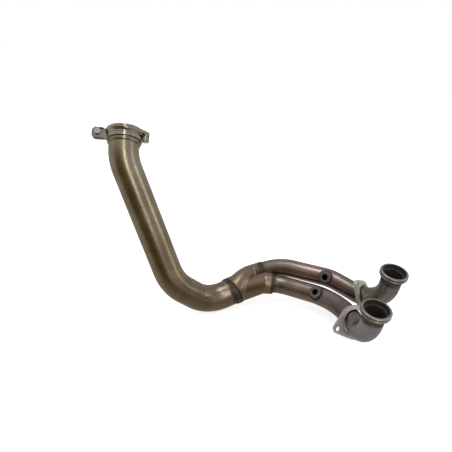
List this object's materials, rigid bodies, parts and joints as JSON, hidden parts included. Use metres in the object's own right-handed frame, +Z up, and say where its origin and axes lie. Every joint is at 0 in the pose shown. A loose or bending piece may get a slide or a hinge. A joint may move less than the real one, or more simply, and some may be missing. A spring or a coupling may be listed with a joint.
{
  "type": "motorcycle exhaust header",
  "caption": "Twin-cylinder exhaust header: bent header pipes with port collars, loose port flanges and sensor bosses join in a Y collector, and a long pipe leads to a hinged end clamp.",
  "frame": {"origin": "on the floor, under the middle of the bounding box, with the header lying down as in the picture", "axes": "+Z up from the floor, +X from the outlet end towards the exhaust ports, +Y from the front port towards the back port"},
  "size_m": [0.4896, 0.23, 0.3623],
  "materials": {
    "main": "heat-tinted, drawn tube",
    "header": "heat-tinted, stained tube",
    "collector": "heat-tinted sheet",
    "collar": "turned, dulled",
    "flange": "dull pressed plate",
    "boss": "turned, dulled by heat",
    "weld": "as welded",
    "sleeve": "drawn, bronze tint",
    "clamp": "pressed, bronze tint",
    "fastener": "plain zinc grey"
  },
  "bodies": {
    "root": {"front_port_collar": "collar", "back_port_collar": "collar", "front_collar_weld": "weld", "back_collar_weld": "weld", "front_header_pipe": "header", "back_header_pipe": "header", "front_port_flange": "flange", "back_port_flange": "flange", "front_sensor_boss": "boss", "back_sensor_boss": "boss", "front_boss_weld": "weld", "back_boss_weld": "weld", "collector": "collector", "front_leg_weld": "weld", "back_leg_weld": "weld", "outlet_weld": "weld", "crotch_weld": "weld", "main_pipe": "main", "outlet_collar": "sleeve", "outlet_collar_weld": "weld", "clamp_near_half": "clamp", "clamp_far_half": "clamp", "clamp_hinge_pin": "fastener", "clamp_bolt": "fastener", "clamp_washer": "fastener", "clamp_nut": "fastener"}
  },
  "joints": []
}
